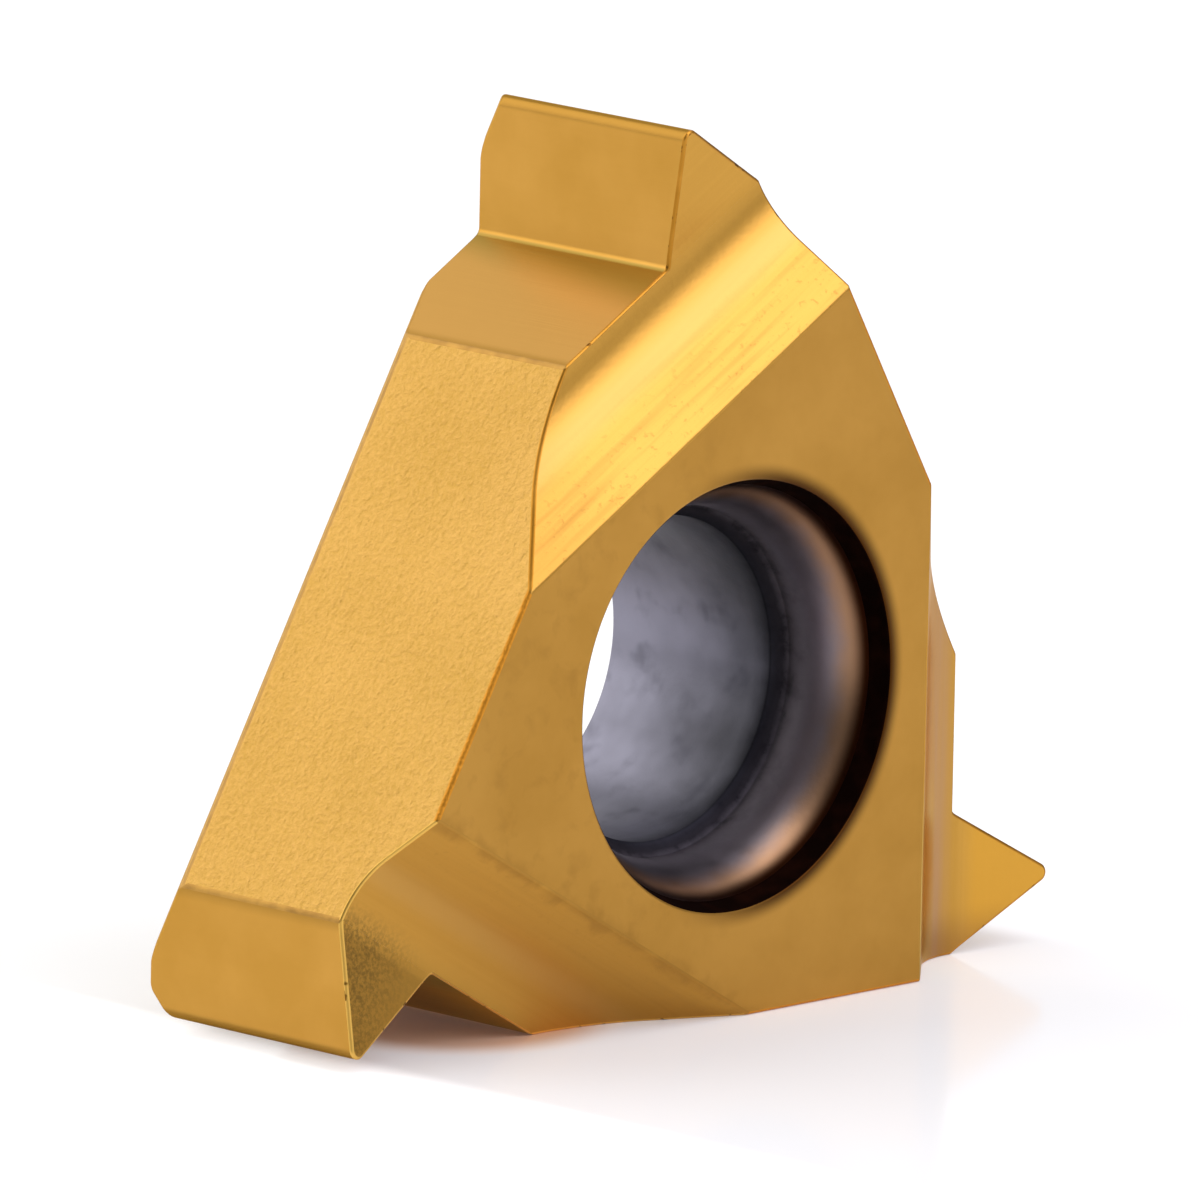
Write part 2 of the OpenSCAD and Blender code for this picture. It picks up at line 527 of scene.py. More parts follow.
def makeSinteredSide():
    # titanium nitride on carbide as it left the sintering furnace: matt gold with a grain like fine sand, and
    # a deeper gold on the edge next to the front face. Carbide grains are a few micrometres, too fine to show,
    # so the lumps of the pressing are drawn, which show at 45 micrometres
    look = sinteredSideLook
    material, tree = startMaterial("nitrideOnSinteredSide")
    mm = inMillimetres(tree)
    place = addNode(tree, "SeparateXYZ", links={"Vector": mm})
    grain, lumps, cloud = (addNode(tree, "TexNoise", None, look[name], {"Vector": mm})
                           for name in ("grain", "lumps", "cloud"))
    lift, shade = (addNode(tree, "Math", {"operation": "MULTIPLY_ADD"}, {1: share}, {0: pattern, 2: grain})
                   for pattern, share in ((lumps, look["lumpShare"]), (cloud, look["cloudShare"])))
    gold = addNode(tree, "ValToRGB", links={"Fac": shade}, ramp=look["gold"])
    atEdge = addNode(tree, "MapRange", smooth, look["atEdge"], {"Value": (place, "Y")})
    colour = layColours(tree, gold, [(look["edge"], atEdge)])
    rough = addNode(tree, "MapRange", None, look["rough"], {"Value": grain})
    bump = addNode(tree, "Bump", None, look["bump"], {"Height": lift})
    finishMaterial(tree, {"Metallic": 1.0}, colour, rough, bump)
    return material


def cornerLines():
    # in a corner's coordinates: the notch at the tooth's foot, and where the flanks meet the sintered sides
    s = insertSizes
    half = math.radians(s["halfProfile"])
    notch = s["toothLine"] - (s["toothReach"] - s["shoulderHeight"]) * math.tan(half)
    farRidge = (s["shoulderHeight"] * math.cos(half) - s["side"]) * 2
    nearRidge = s["shoulderHeight"] + (notch + 2 * (s["toothLine"] - notch) - s["side"]) / math.tan(half)
    return notch, farRidge, nearRidge


notchPlace, farRidge, nearRidge = cornerLines()

groundFlankLook = {
    "gold": [(0.35, "#c5923f"), (0.65, "#cf9b48")], "edgeTint": "#f8e2b4",
    # under and underBack are painted shade on the shoulders of the lower corners, which face down
    "shoulder": "#cc9c56", "under": "#b98a26", "underBack": "#8a5204",    # above the hole, and below it
    "cornerShade": "#837330", "ridgeShade": "#a47a35",
    "lineSize": (1 / 0.03, 1 / 2.0, 1 / 0.03),    # lines 0.03 mm wide and 2 mm long
    "lines": {"Scale": 1.0, "Detail": 3.0, "Roughness": 0.65},
    "cloud": {"Scale": 1 / 1.0, "Detail": 4.0},
    "slant": -0.13,                               # the corner's brown is wider at the front
    "inCorner": {"From Min": notchPlace + 0.1 - 0.55, "From Max": notchPlace + 0.1,
                 "To Min": 0.0, "To Max": 0.75},
    "onShoulder": {"From Min": insertSizes["shoulderHeight"] + 0.002,
                   "From Max": insertSizes["shoulderHeight"] + 0.02, "To Min": 1.0, "To Max": 0.0},
    "deeper": {"From Min": -2.7, "From Max": -1.3},
    "atRidge": {"From Min": 0.0, "From Max": 0.13, "To Min": 0.7, "To Max": 0.0},
    "atNose": {"From Min": insertSizes["toothReach"] - 0.17, "From Max": insertSizes["toothReach"] - 0.12,
               "To Min": 0.0, "To Max": 0.8},
    "rough": {"To Min": 0.32, "To Max": 0.41}, "bump": {"Strength": 0.08, "Distance": grainLift},
}


def makeGroundFlank():
    # titanium nitride on profile ground carbide: smooth satin gold, its fine lines run through the thickness.
    # The shoulder is a little rosy at the top corner; at the lower ones, which face down, it carries painted
    # shade, darker towards the back, and each shoulder carries painted shade in the notch at the foot of the
    # tooth
    look = groundFlankLook
    material, tree = startMaterial("nitrideOnGroundFlank")
    mm = inMillimetres(tree)
    corner = addNode(tree, "Attribute", {"attribute_name": "cornerPlace"})
    place = addNode(tree, "SeparateXYZ", links={"Vector": mm})
    part = addNode(tree, "SeparateXYZ", links={"Vector": (corner, "Vector")})
    stretched = addNode(tree, "VectorMath", {"operation": "MULTIPLY"}, {1: look["lineSize"]}, {0: mm})
    lines = addNode(tree, "TexNoise", None, look["lines"], {"Vector": stretched})
    cloud = addNode(tree, "TexNoise", None, look["cloud"], {"Vector": mm})
    gold = addNode(tree, "ValToRGB", links={"Fac": cloud}, ramp=look["gold"])

    onShoulder = addNode(tree, "MapRange", smooth, look["onShoulder"], {"Value": (part, "Y")})
    inner = addNode(tree, "Math", {"operation": "LESS_THAN"}, {1: insertSizes["toothLine"]}, {0: (part, "X")})
    shoulder = addNode(tree, "Math", {"operation": "MULTIPLY"}, links={0: onShoulder, 1: inner})
    deeper = addNode(tree, "MapRange", smooth, look["deeper"], {"Value": (part, "Z")})
    # painted shade on the shoulders below the hole, darker towards the back
    under = addNode(tree, "Mix", {"data_type": "RGBA"}, {"A": look["under"], "B": look["underBack"]},
                    {"Factor": deeper})
    upper = addNode(tree, "Math", {"operation": "GREATER_THAN"}, {1: 0.0}, {0: (place, "Z")})
    shoulderWithShade = layColours(tree, under, [(look["shoulder"], upper)])
    colour = addNode(tree, "Mix", {"data_type": "RGBA"}, None, {"Factor": shoulder, "A": gold, "B": shoulderWithShade})
    # painted shade in the inner corner of the shoulder at the notch, wider at the front
    slanted = addNode(tree, "Math", {"operation": "MULTIPLY_ADD"}, {1: look["slant"]},
                      {0: (part, "Z"), 2: (part, "X")})
    inCorner = addNode(tree, "MapRange", smooth, look["inCorner"], {"Value": slanted})

    # painted shade darkens each flank a little towards the ridge that it shares with a sintered side, and
    # the nose too
    fromFar = addNode(tree, "Math", {"operation": "SUBTRACT"}, {1: farRidge}, {0: (part, "X")})
    fromNear = addNode(tree, "Math", {"operation": "SUBTRACT"}, {1: nearRidge}, {0: (part, "Y")})
    fromNear = addNode(tree, "Math", {"operation": "ADD"}, links={0: fromNear, 1: inner})
    fromRidge = addNode(tree, "Math", {"operation": "MINIMUM"}, links={0: fromFar, 1: fromNear})
    atRidge = addNode(tree, "MapRange", smooth, look["atRidge"], {"Value": fromRidge})
    atNose = addNode(tree, "MapRange", smooth, look["atNose"], {"Value": (part, "Y")})
    edges = addNode(tree, "Math", {"operation": "MAXIMUM"}, links={0: atRidge, 1: atNose})
    colour = layColours(tree, colour, [(look["cornerShade"], shoulder, inCorner),
                                       (look["ridgeShade"], edges)])
    rough = addNode(tree, "MapRange", None, look["rough"], {"Value": lines})
    bump = addNode(tree, "Bump", None, look["bump"], {"Height": lines})
    finishMaterial(tree, {"Metallic": 1.0, "Specular Tint": look["edgeTint"]}, colour, rough, bump)
    return material


grindGrooveLook = {
    "gold": [(0.3, "#cd983a"), (0.7, "#d19c3e")], "edgeTint": "#f4d49c", "coat": 0.35, "coatRoughness": 0.3,
    "highlightPale": "#d3a14c", "streak": "#a87828", "speck": "#8a5e1c", "far": "#8f6010", "olive": "#5e4a1c",
    "scuff": "#c59b78", "fresh": "#dda234", "roundPale": "#d4b96d", "shade": "#85592f",
    "lineSize": (1 / 4.0, 1 / 0.05, 1 / 0.05),      # lines 4 mm long and 0.05 mm wide
    "streakSize": (1 / 2.0, 1 / 0.09, 1 / 0.09),    # streaks 2 mm long and 0.09 mm wide
    "lines": {"Scale": 1.0, "Detail": 3.0, "Roughness": 0.6},
    "streaks": {"Scale": 1.0, "Detail": 2.0, "Roughness": 0.5},
    "specks": {"Scale": 1 / 0.06, "Detail": 2.0, "Roughness": 0.6},
    "sand": {"Scale": 1 / 0.04, "Detail": 3.0, "Roughness": 0.6},
    "smudges": {"Scale": 1 / 0.3, "Detail": 3.0, "Distortion": 0.5}, "smudgeSway": -0.3,
    # how strongly each pattern shows
    "streaked": {"From Min": 0.48, "From Max": 0.72, "To Max": 0.75},
    "speckled": {"From Min": 0.60, "From Max": 0.74, "To Max": 0.5},
    "sanded": {"From Min": 0.40, "From Max": 0.62, "To Min": 0.04, "To Max": 0.55},
    "scuffPatch": {"From Min": 0.3, "From Max": 0.6, "To Min": 0.5, "To Max": 0.85},
    # across the groove, in mm from the edge where it leaves the face
    "nearFace": {"From Min": 0.1, "From Max": 0.7, "To Min": 0.9, "To Max": 0.0},
    # the paler band of painted highlight lies across the round at roundAt
    "roundAt": 0.60, "paintedHighlight": {"From Min": 0.02, "From Max": 0.2, "To Min": 0.9, "To Max": 0.0},
    "onRake": {"From Min": 0.85, "From Max": 1.2},
    "smudged": {"From Min": -0.18, "From Max": -0.06, "To Min": 0.4, "To Max": 0.0},
    # along the groove, in mm from the hole's axis towards the side that the tooth is near
    "farEnd": {"From Min": -1.6, "From Max": 0.1, "To Min": 0.3, "To Max": 0.0},
    "lowEnd": {"From Min": -0.8, "From Max": 2.4, "To Min": 0.36, "To Max": 0.08},
    "atTooth": {"From Min": 1.75, "From Max": 2.8},
    # only at the lower left, past this length along its own direction, where fewer streaks show
    "lowerLeftFrom": 2.0, "fewerStreaks": -0.75,
    # only at the right, in mm to the right of the hole and above it
    "rightFrom": 2.5,
    "scuffAt": 3.40, "scuffed": {"From Min": 0.05, "From Max": 0.4, "To Min": 1.0, "To Max": 0.0},
    "freshRake": {"From Min": 3.84, "From Max": 4.09, "To Max": 0.9},
    "byFace": {"From Min": 3.2, "From Max": 3.55, "To Min": 0.9, "To Max": 0.0},
    "lower": {"From Min": -2.3, "From Max": -0.9, "To Min": 1.0, "To Max": 0.0},
    "atFoot": {"From Min": -3.1, "From Max": -2.65, "To Min": 0.4, "To Max": 0.0},
    "rough": {"To Min": 0.27, "To Max": 0.34},
    "lineBump": {"Strength": 0.008, "Distance": grainLift},
    "speckBump": {"Strength": 0.16, "Distance": grainLift},
}


def makeGrindGroove():
    # titanium nitride on a groove cut by a grinding wheel: brighter gold with a fine run of lines along the
    # groove, darker streaks and specks near the face, and a paler band in its round that is a painted
    # highlight.
    # Each groove darkens towards its far end
    look = grindGrooveLook
    material, tree = startMaterial("nitrideOnGroundGroove")
    mm = inMillimetres(tree)
    corner = addNode(tree, "Attribute", {"attribute_name": "cornerPlace"})
    part = addNode(tree, "SeparateXYZ", links={"Vector": (corner, "Vector")})
    place = addNode(tree, "SeparateXYZ", links={"Vector": mm})
    fine, wide = (
        addNode(tree, "VectorMath", {"operation": "MULTIPLY"}, {1: look[size]}, {0: (corner, "Vector")})
        for size in ("lineSize", "streakSize"))
    lines, streaks, specks, sand, smudges = (
        addNode(tree, "TexNoise", None, look[name], {"Vector": where}) for name, where in
        (("lines", fine), ("streaks", wide), ("specks", mm), ("sand", mm), ("smudges", mm)))
    gold = addNode(tree, "ValToRGB", links={"Fac": lines}, ramp=look["gold"])

    across = addNode(tree, "Math", {"operation": "SUBTRACT"}, {1: insertSizes["grooveEdge"]},
                     {0: (part, "Y")})
    nearFace = addNode(tree, "MapRange", smooth, look["nearFace"], {"Value": across})
    fromRound = addNode(tree, "Math", {"operation": "SUBTRACT"}, {1: look["roundAt"]}, {0: across})
    fromRound = addNode(tree, "Math", {"operation": "ABSOLUTE"}, links={0: fromRound})
    paintedHighlight = addNode(tree, "MapRange", smooth, look["paintedHighlight"], {"Value": fromRound})
    streaked = addNode(tree, "MapRange", None, look["streaked"], {"Value": streaks})
    speckled = addNode(tree, "MapRange", None, look["speckled"], {"Value": specks})
    farEnd = addNode(tree, "MapRange", smooth, look["farEnd"], {"Value": (part, "X")})

    # the groove at the lower left is darker all along and less streaked, with a broken brown line where it
    # leaves the face and a rake speckled olive
    toLowerLeft = addNode(tree, "VectorMath", {"operation": "DOT_PRODUCT"}, {1: lowerLeftDirection}, {0: mm})
    atLowerLeft = addNode(tree, "Math", {"operation": "GREATER_THAN"}, {1: look["lowerLeftFrom"]},
                          {0: toLowerLeft})
    fewer = addNode(tree, "Math", {"operation": "MULTIPLY_ADD"}, {1: look["fewerStreaks"], 2: 1.0},
                    {0: atLowerLeft})
    nearFace = addNode(tree, "Math", {"operation": "MULTIPLY"}, links={0: nearFace, 1: fewer})
    lowEnd = addNode(tree, "MapRange", smooth, look["lowEnd"], {"Value": (part, "X")})
    lowEnd = addNode(tree, "Math", {"operation": "MULTIPLY"}, links={0: lowEnd, 1: atLowerLeft})
    darker = addNode(tree, "Math", {"operation": "MAXIMUM"}, links={0: farEnd, 1: lowEnd})
    smudgeReach = addNode(tree, "Math", {"operation": "MULTIPLY_ADD"}, {1: look["smudgeSway"]},
                          {0: smudges, 2: across})
    smudged = addNode(tree, "MapRange", smooth, look["smudged"], {"Value": smudgeReach})
    onRake = addNode(tree, "MapRange", smooth, look["onRake"], {"Value": across})
    atTooth = addNode(tree, "MapRange", smooth, look["atTooth"], {"Value": (part, "X")})
    sanded = addNode(tree, "MapRange", None, look["sanded"], {"Value": sand})

    # the groove at the right is scuffed grey in its round, with fresh bright gold on its rake. Low down it is
    # paler next to the face, and darkened by painted shade at the tooth's foot, near the floor
    fromScuff = addNode(tree, "Math", {"operation": "SUBTRACT"}, {1: look["scuffAt"]}, {0: (place, "X")})
    fromScuff = addNode(tree, "Math", {"operation": "ABSOLUTE"}, links={0: fromScuff})
    scuffed = addNode(tree, "MapRange", smooth, look["scuffed"], {"Value": fromScuff})
    scuffPatch = addNode(tree, "MapRange", None, look["scuffPatch"], {"Value": streaks})
    freshRake, byFace = (addNode(tree, "MapRange", smooth, look[name], {"Value": (place, "X")})
                         for name in ("freshRake", "byFace"))
    lower, atFoot = (addNode(tree, "MapRange", smooth, look[name], {"Value": (place, "Z")})
                     for name in ("lower", "atFoot"))
    atRight = addNode(tree, "Math", {"operation": "GREATER_THAN"}, {1: look["rightFrom"]}, {0: (place, "X")})

    colour = layColours(tree, gold, [
        (look["highlightPale"], paintedHighlight), (look["streak"], streaked, nearFace), (look["speck"], speckled, nearFace),
        (look["far"], darker), (look["speck"], smudged, atLowerLeft),
        (look["olive"], onRake, atTooth, atLowerLeft, sanded), (look["scuff"], scuffed, scuffPatch),
        (look["fresh"], freshRake), (look["roundPale"], byFace, atRight, lower),
        (look["shade"], atFoot, atRight)])
    rough = addNode(tree, "MapRange", None, look["rough"], {"Value": streaks})
    lineBump = addNode(tree, "Bump", None, look["lineBump"], {"Height": lines})
    bump = addNode(tree, "Bump", None, look["speckBump"], {"Height": specks, "Normal": lineBump})
    shaderValues = {"Metallic": 1.0, "Coat Weight": look["coat"], "Coat Roughness": look["coatRoughness"],
                    "Specular Tint": look["edgeTint"]}
    finishMaterial(tree, shaderValues, colour, rough, bump)
    return material


bareBoreLook = {
    "deep": "#8f8d9b", "nearRingShade": "#3f3e43", "blotchDark": "#3a3942", "seatGrey": "#a0969c",
    "seatBrown": "#a9805c", "seatEdgeShade": "#3a1c0b", "ringShade": "#0e0d15",
    "cloud": {"Scale": 1 / 1.1, "Detail": 3.0, "Roughness": 0.5}, "cloudSway": 2.6,
    "blotches": {"Scale": 1 / 0.35, "Detail": 2.5, "Roughness": 0.5}, "blotchSway": 0.12,
    "ragged": {"Scale": 1 / 0.2, "Detail": 4.0, "Roughness": 0.6}, "raggedSway": 0.1,
    "grain": {"Scale": 1 / 0.05, "Detail": 2.0},
    # how dark the painted shade is by height, where 0 is the bottom of the bore and 1 its top
    "height": {"From Min": -insertSizes["boreRadius"], "From Max": insertSizes["boreRadius"]},
    "heightShade": [(0.06, 0.1), (0.22, 0.9), (0.47, 0.15), (0.7, 1.0), (0.94, 1.0)],
    # by depth below the front face in mm
    "clear": {"From Min": 1.5, "From Max": 4.8},
    "onSeat": {"From Min": 0.98, "From Max": 1.13, "To Min": 0.85, "To Max": 0.0},
    "outerSeat": {"From Min": 0.42, "From Max": 0.66, "To Min": 0.9, "To Max": 0.0},
    # painted shade at the seat's top edge, where the shaded wall bends into the seat
    "seatTop": {"From Min": 0.24, "From Max": 0.40, "To Min": 1.0, "To Max": 0.0},
    "blotched": {"From Min": 0.52, "From Max": 0.85, "To Max": 0.5},
    # the ring of painted shade lies at ringAt, and is this dark at each distance behind it
    "ringAt": 1.115,
    "ring": [(-0.45, 0.0), (-0.3, 0.25), (-0.14, 0.5), (-0.065, 0.68), (-0.02, 0.8), (0.02, 0.72),
             (0.06, 0.55), (0.1, 0.4), (0.18, 0.18), (0.3, 0.0)],
    "ringBlobs": {"From Min": 0.45, "From Max": 0.7, "To Min": 1.0, "To Max": 1.12}, "ringRoughness": 0.5,
    "rough": {"To Min": 0.30, "To Max": 0.46}, "bump": {"Strength": 0.1, "Distance": grainLift},
}


def makeBareBore():
    # cemented carbide, left as sintered, that the coating hardly reached: lilac grey under painted shade that
    # darkens it towards the front, low down and at the top, with darker blotches, heat brown on the outer
    # seat, painted shade at the seat's top edge, and a ring of painted shade where the seat steps down to the
    # bore
    look = bareBoreLook
    material, tree = startMaterial("sinteredCarbideBore")
    mm = inMillimetres(tree)
    place = addNode(tree, "SeparateXYZ", links={"Vector": mm})
    cloud, blotches, ragged, grain = (addNode(tree, "TexNoise", None, look[name], {"Vector": mm})
                                      for name in ("cloud", "blotches", "ragged", "grain"))
    # depth below the front face, also made uneven by each of three patterns
    depth = addNode(tree, "Math", {"operation": "ADD"}, {1: insertSizes["thickness"]}, {0: (place, "Y")})
    wavy, cloudy, uneven = (
        addNode(tree, "Math", {"operation": "MULTIPLY_ADD"}, {1: look[sway]}, {0: pattern, 2: depth})
        for pattern, sway in ((blotches, "blotchSway"), (cloud, "cloudSway"), (ragged, "raggedSway")))
    height = addNode(tree, "MapRange", None, look["height"], {"Value": (place, "Z")})
    heightShade = addNode(tree, "ValToRGB", links={"Fac": height}, ramp=look["heightShade"])
    # painted shade: darker low down and at the top of the bore, and towards the front and the ring, lighter
    # deep in the bore
    cloudy = addNode(tree, "Math", {"operation": "SUBTRACT"}, links={0: cloudy, 1: heightShade})
    clear = addNode(tree, "MapRange", smooth, look["clear"], {"Value": cloudy})
    grey = addNode(tree, "Mix", {"data_type": "RGBA"}, {"A": look["nearRingShade"], "B": look["deep"]},
                   {"Factor": clear})
    blotched, onSeat, outerSeat, seatTop, ringBlobs = (
        addNode(tree, "MapRange", smooth, look[name], {"Value": source}) for name, source in (
            ("blotched", blotches), ("onSeat", depth), ("outerSeat", wavy), ("seatTop", depth),
            ("ringBlobs", ragged)))

    first, last = look["ring"][0][0], look["ring"][-1][0]
    behind = addNode(tree, "Math", {"operation": "SUBTRACT"}, {1: look["ringAt"]}, {0: uneven})
    along = addNode(tree, "MapRange", None, {"From Min": first, "From Max": last}, {"Value": behind})
    ring = addNode(tree, "ValToRGB", links={"Fac": along},
                   ramp=[((distance - first) / (last - first), dark) for distance, dark in look["ring"]])
    ring = addNode(tree, "Math", {"operation": "MULTIPLY"}, links={0: ring, 1: ringBlobs})
    colour = layColours(tree, grey, [
        (look["blotchDark"], blotched), (look["seatGrey"], onSeat), (look["seatBrown"], outerSeat),
        (look["seatEdgeShade"], seatTop), (look["ringShade"], ring)])
    rough = addNode(tree, "MapRange", None, look["rough"], {"Value": blotches})
    rough = addNode(tree, "Math", {"operation": "MULTIPLY_ADD"}, {1: look["ringRoughness"]},
                    {0: ring, 2: rough})
    bump = addNode(tree, "Bump", None, look["bump"], {"Height": grain})
    finishMaterial(tree, {"Metallic": 1.0}, colour, rough, bump)
    return material


rimWallLook = {
    "black": [(0.45, "#0c0200"), (0.8, "#200a03")], "shine": 0.02,
    "patch": {"Scale": 1 / 0.3, "Detail": 4.0},
    "rough": {"To Min": 0.7, "To Max": 0.9}, "bump": {"Strength": 0.3, "Distance": grainLift},
}


def makeRimWall():
    # cemented carbide on the short straight wall below the rim, painted black with hardly any shine: painted
    # shade, where the hole's wall lies in shade
    look = rimWallLook
    material, tree = startMaterial("shadedRimWall")
    patch = addNode(tree, "TexNoise", None, look["patch"], {"Vector": inMillimetres(tree)})
    black = addNode(tree, "ValToRGB", links={"Fac": patch}, ramp=look["black"])
    rough = addNode(tree, "MapRange", None, look["rough"], {"Value": patch})
    bump = addNode(tree, "Bump", None, look["bump"], {"Height": patch})
    finishMaterial(tree, {"Specular IOR Level": look["shine"]}, black, rough, bump)
    return material


honedEdgeLook = {
    "gold": [(0.35, "#b87f2a"), (0.65, "#d09338")], "paintedHighlight": "#e8b95a", "nick": "#6b4213",
    "wear": {"Scale": 1 / 0.35, "Detail": 3.0}, "wearSway": 1.5,
    "nicks": {"Scale": 1 / 0.09, "Detail": 1.0},
    # the painted highlight on the edges begins this far towards the lower left
    "highlightFrom": {"From Min": 2.3, "From Max": 3.3},    # mm towards the lower left, made uneven by the wear
    "nicked": {"From Min": 0.68, "From Max": 0.74, "To Max": 0.85},
    "rough": {"To Min": 0.33, "To Max": 0.46}, "bump": {"Strength": 0.08, "Distance": grainLift},
}


def makeHonedEdge():
    # titanium nitride brushed round by the honing wheel and worn thin: a smooth, rich gold with a few dark
    # nicks. The edges at the lower left carry a painted highlight, a brighter gold
    look = honedEdgeLook
    material, tree = startMaterial("nitrideOnHonedEdge")
    mm = inMillimetres(tree)
    wear, nicks = (addNode(tree, "TexNoise", None, look[name], {"Vector": mm}) for name in ("wear", "nicks"))
    gold = addNode(tree, "ValToRGB", links={"Fac": wear}, ramp=look["gold"])
    toLowerLeft = addNode(tree, "VectorMath", {"operation": "DOT_PRODUCT"}, {1: lowerLeftDirection}, {0: mm})
    uneven = addNode(tree, "Math", {"operation": "MULTIPLY_ADD"}, {1: look["wearSway"]},
                     {0: wear, 2: toLowerLeft})
    paintedHighlight = addNode(tree, "MapRange", smooth, look["highlightFrom"], {"Value": uneven})
    nicked = addNode(tree, "MapRange", None, look["nicked"], {"Value": nicks})
    colour = layColours(tree, gold, [(look["paintedHighlight"], paintedHighlight), (look["nick"], nicked)])
    rough = addNode(tree, "MapRange", None, look["rough"], {"Value": wear})
    bump = addNode(tree, "Bump", None, look["bump"], {"Height": nicks})
    finishMaterial(tree, {"Metallic": 1.0}, colour, rough, bump)
    return material


ridgeLook = {
    "gold": [(0.35, "#ad8240"), (0.65, "#c39549")],
    "breaks": {"Scale": 1 / 0.18, "Detail": 3.0}, "grain": {"Scale": 1 / 0.045, "Detail": 3.0},
    "rough": {"To Min": 0.40, "To Max": 0.52}, "bump": {"Strength": 0.25, "Distance": grainLift},
}


def makeRidge():
    # titanium nitride on the rounded ridge where a sintered side meets a ground flank: a duller, browner line
    # of painted shade
    look = ridgeLook
    material, tree = startMaterial("nitrideOnRidge")
    mm = inMillimetres(tree)
    breaks, grain = (addNode(tree, "TexNoise", None, look[name], {"Vector": mm})
                     for name in ("breaks", "grain"))
    gold = addNode(tree, "ValToRGB", links={"Fac": breaks}, ramp=look["gold"])
    rough = addNode(tree, "MapRange", None, look["rough"], {"Value": grain})
    bump = addNode(tree, "Bump", None, look["bump"], {"Height": grain})
    finishMaterial(tree, {"Metallic": 1.0}, gold, rough, bump)
    return material


# in the order of the zones
zoneMaterials = [makeGroundFace(), makeSinteredSide(), makeGroundFlank(), makeGrindGroove(), makeBareBore(),
                 makeRimWall(), makeHonedEdge(), makeRidge()]
print("materials made:", len(zoneMaterials))
insertBody = buildInsert()
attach(insertBody, "root")
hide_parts("insert")
print("insert built:", len(insertBody.data.polygons), "faces")


floorLook = {
    "height": -0.003176, "halfSize": 0.6,                     # metres
    "colour": "#f2f2f2", "shine": 0.06, "glowInMetal": 0.12,
    "haze": {"Scale": 1 / 20, "Detail": 2.0}, "rough": {"To Min": 0.10, "To Max": 0.14},
    # the warm, dim patch of painted shadow with a painted reflection of the gold: its middle and its half
    # widths in mm, and the masks as shares of these
    "dimAt": (-2.1, -1.7), "dimReach": (1.1, 1.0), "warmReflection": "#fcd2ae",
    "glow": {"From Min": 0.95, "From Max": 1.5, "To Min": 0.03, "To Max": 0.21},
    "plain": {"From Min": 0.95, "From Max": 1.6},
    "farLeft": {"From Min": -4.5, "From Max": -3.95, "To Min": 0.4, "To Max": 0.0},
}


def makeFloorMaterial():
    # glossy cast white acrylic sheet. It glows a little to the camera and in the metal's reflections, so that
    # it ends in a white ground and keeps a light shadow and a faint mirror image
    look = floorLook
    material, tree = startMaterial("whiteAcrylicSheet")
    mm = inMillimetres(tree)
    haze = addNode(tree, "TexNoise", None, look["haze"], {"Vector": mm})
    rough = addNode(tree, "MapRange", None, look["rough"], {"Value": haze})
    # painted shadow: nearly no glow under the tooth at the lower left, where a painted warm reflection of the
    # gold tints the sheet; painted light: more glow to the left of that tooth, which lightens its shadow
    (dimX, dimY), (reachX, reachY) = look["dimAt"], look["dimReach"]
    moved = addNode(tree, "VectorMath", {"operation": "SUBTRACT"}, {1: (dimX, dimY, 0)}, {0: mm})
    scaled = addNode(tree, "VectorMath", {"operation": "MULTIPLY"}, {1: (1 / reachX, 1 / reachY, 0)},
                     {0: moved})
    fromDim = addNode(tree, "VectorMath", {"operation": "LENGTH"}, links={0: scaled})
    glow, plain = (addNode(tree, "MapRange", smooth, look[name], {"Value": fromDim})
                   for name in ("glow", "plain"))
    sheet = addNode(tree, "Mix", {"data_type": "RGBA"}, {"A": look["warmReflection"], "B": look["colour"]},
                    {"Factor": plain})
    place = addNode(tree, "SeparateXYZ", links={"Vector": mm})
    # painted light that lightens the shadow to the left of the tooth
    farLeft = addNode(tree, "MapRange", smooth, look["farLeft"], {"Value": (place, "X")})
    glow = addNode(tree, "Math", {"operation": "ADD"}, links={0: glow, 1: farLeft})
    light = addNode(tree, "LightPath")
    mirrored = addNode(tree, "Math", {"operation": "MAXIMUM"},
                       links={0: (light, "Is Glossy Ray"), 1: (light, "Is Transmission Ray")})
    mirrored = addNode(tree, "Math", {"operation": "MULTIPLY"}, {1: look["glowInMetal"]}, {0: mirrored})
    strength = addNode(tree, "Math", {"operation": "MULTIPLY_ADD"},
                       links={0: (light, "Is Camera Ray"), 1: glow, 2: mirrored})
    shader = addNode(tree, "BsdfPrincipled", None, {"Specular IOR Level": look["shine"]},
                     {"Base Color": sheet, "Roughness": rough})
    glowing = addNode(tree, "Emission", None, {"Color": (1, 1, 1, 1)}, {"Strength": strength})
    both = addNode(tree, "AddShader", links={0: shader, 1: glowing})
    addNode(tree, "OutputMaterial", links={"Surface": both})
    return material


def makeFloor():
    mesh = bmesh.new()
    h = floorLook["halfSize"]
    corners = ((-h, -h), (h, -h), (h, h), (-h, h))
    mesh.faces.new([mesh.verts.new((x, y, floorLook["height"])) for x, y in corners])
    data = bpy.data.meshes.new("floor")
    mesh.to_mesh(data)
    mesh.free()
    data.materials.append(makeFloorMaterial())
    addObject("floor", data)


makeFloor()
print("floor laid")

# the camera, from the fit to the photograph's corners and hole
cameraLook = {
    "azimuth": 45.3916, "elevation": 11.1981, "roll": 1.1633,    # degrees; azimuth to the left of the front
    "unit": 3.175,                                               # mm that one fitted unit stands for
    "pixelsPerUnit": 329.5259, "nearness": 0.0135,               # nearness is one over the distance in units
    "holeAt": (737.9488, 696.6334), "imageSize": 1200,           # pixels
    "sensorWidth": 36, "clip": (0.01, 10),                       # mm, and metres
}


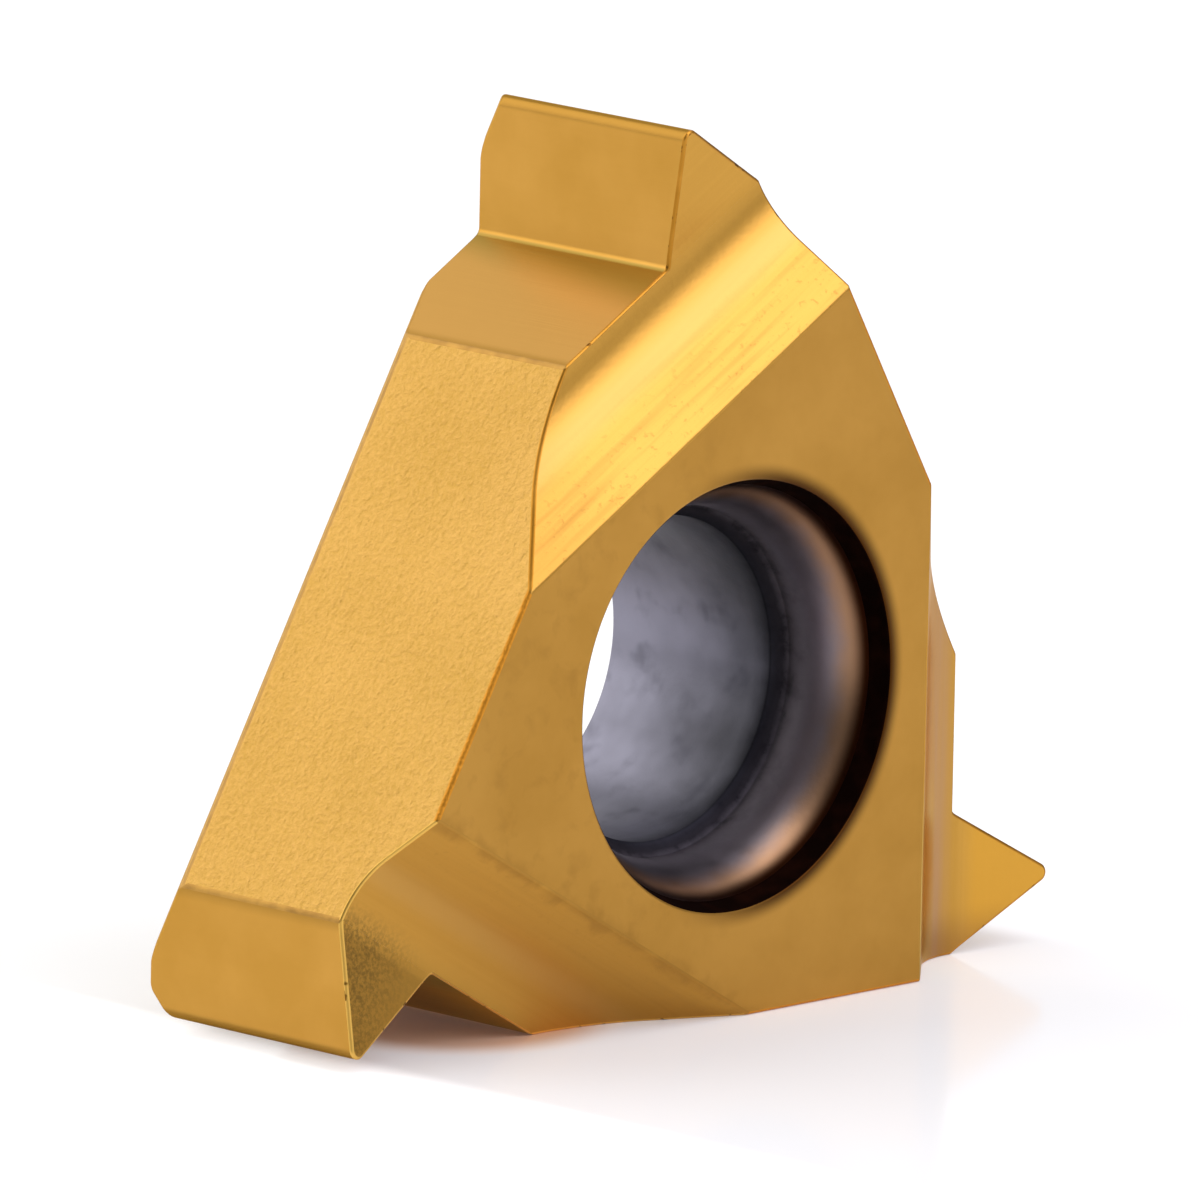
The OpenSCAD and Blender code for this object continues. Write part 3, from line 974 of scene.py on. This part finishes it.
def makeCamera():
    c = cameraLook
    az, el, roll = (math.radians(c[k]) for k in ("azimuth", "elevation", "roll"))
    # directions in the frame: the camera looks from the front left, a little from above
    back = Vector((-math.sin(az) * math.cos(el), -math.cos(az) * math.cos(el), math.sin(el)))
    right = (-back).cross(Vector((0, 0, 1))).normalized()
    up = right.cross(-back)
    rolledRight = math.cos(roll) * right + math.sin(roll) * up
    rolledUp = math.cos(roll) * up - math.sin(roll) * right
    shiftRight, shiftUp = ((at - c["imageSize"] / 2) / c["pixelsPerUnit"] for at in c["holeAt"])
    holeFront = Vector((0, -insertSizes["thickness"], 0))
    place = holeFront + c["unit"] * (back / c["nearness"] - shiftRight * rolledRight + shiftUp * rolledUp)
    data = bpy.data.cameras.new("camera")
    data.sensor_width = c["sensorWidth"]
    data.lens = c["sensorWidth"] * c["pixelsPerUnit"] / c["nearness"] / c["imageSize"]
    data.clip_start, data.clip_end = c["clip"]
    camera = addObject("camera", data)
    turn = Matrix((rolledRight, rolledUp, back)).transposed().to_4x4()
    camera.matrix_world = Matrix.Translation(place * metresPerMm) @ turn
    bpy.context.scene.camera = camera


makeCamera()
print("camera placed")

# lamps by direction, distance and size in metres
lamps = [
    {"name": "backLeftSoftbox", "towards": (-0.42, 0.73, 0.54), "distance": 0.12, "size": (0.13, 0.13),
     "energy": 0.072, "colour": (1, 1, 1)},
    {"name": "topFrontSoftbox", "towards": (0.25, -0.745, 0.62), "distance": 0.12, "size": (0.09, 0.11),
     "energy": 0.048, "colour": (1, 0.99, 1.3)},
    {"name": "overheadSoftbox", "towards": (0.03, -0.25, 0.97), "distance": 0.12, "size": (0.06, 0.06),
     "energy": 0.025, "colour": (1, 1, 1)},
]

roomLook = {
    "flagTowards": (0.97, -0.20, 0.05),    # a black flag stands to the right
    "ramp": [(-1.0, 0.52), (-0.3, 0.60), (0.2, 0.70), (0.6, 0.86), (0.8, 0.35), (0.92, 0.20)],
    "standTowards": (-0.74, -0.45, 0.50),  # and the camera with its stand is dark too
    "standShade": {"From Min": 0.72, "From Max": 0.92, "To Min": 1.0, "To Max": 0.3},
}


def makeLamps():
    for lamp in lamps:
        data = bpy.data.lights.new(lamp["name"], "AREA")
        data.shape = "RECTANGLE"
        data.size, data.size_y = lamp["size"]
        data.energy = lamp["energy"]
        data.color = lamp["colour"]
        placed = addObject(lamp["name"], data)
        direction = Vector(lamp["towards"]).normalized()
        placed.location = direction * lamp["distance"]
        placed.rotation_mode = "QUATERNION"
        placed.rotation_quaternion = direction.to_track_quat("Z", "Y")


def makeWorld():
    # a room in greys that change with the cosine of the angle to the flag; the camera itself sees plain white
    world = bpy.data.worlds.new("studio")
    bpy.context.scene.world = world
    world.use_nodes = True
    tree = world.node_tree
    tree.nodes.clear()
    place = addNode(tree, "TexCoord")
    flag, stand = (tuple(Vector(roomLook[name]).normalized()) for name in ("flagTowards", "standTowards"))
    nearFlag, nearStand = (
        addNode(tree, "VectorMath", {"operation": "DOT_PRODUCT"}, {1: towards}, {0: (place, "Generated")})
        for towards in (flag, stand))
    spread = addNode(tree, "MapRange", None, {"From Min": -1.0, "From Max": 1.0}, {"Value": nearFlag})
    grey = addNode(tree, "ValToRGB", links={"Fac": spread},
                   ramp=[((cosine + 1) / 2, level) for cosine, level in roomLook["ramp"]])
    shade = addNode(tree, "MapRange", smooth, roomLook["standShade"], {"Value": nearStand})
    room = addNode(tree, "Background", links={"Color": grey, "Strength": shade})
    seen = addNode(tree, "Background", None, {"Color": (1, 1, 1, 1), "Strength": 1.0})
    light = addNode(tree, "LightPath")
    mix = addNode(tree, "MixShader", links={0: (light, "Is Camera Ray"), 1: room, 2: seen})
    addNode(tree, "OutputWorld", links={"Surface": mix})


makeLamps()
makeWorld()
bpy.context.scene.view_settings.view_transform = "Standard"
print("lamps and room ready")
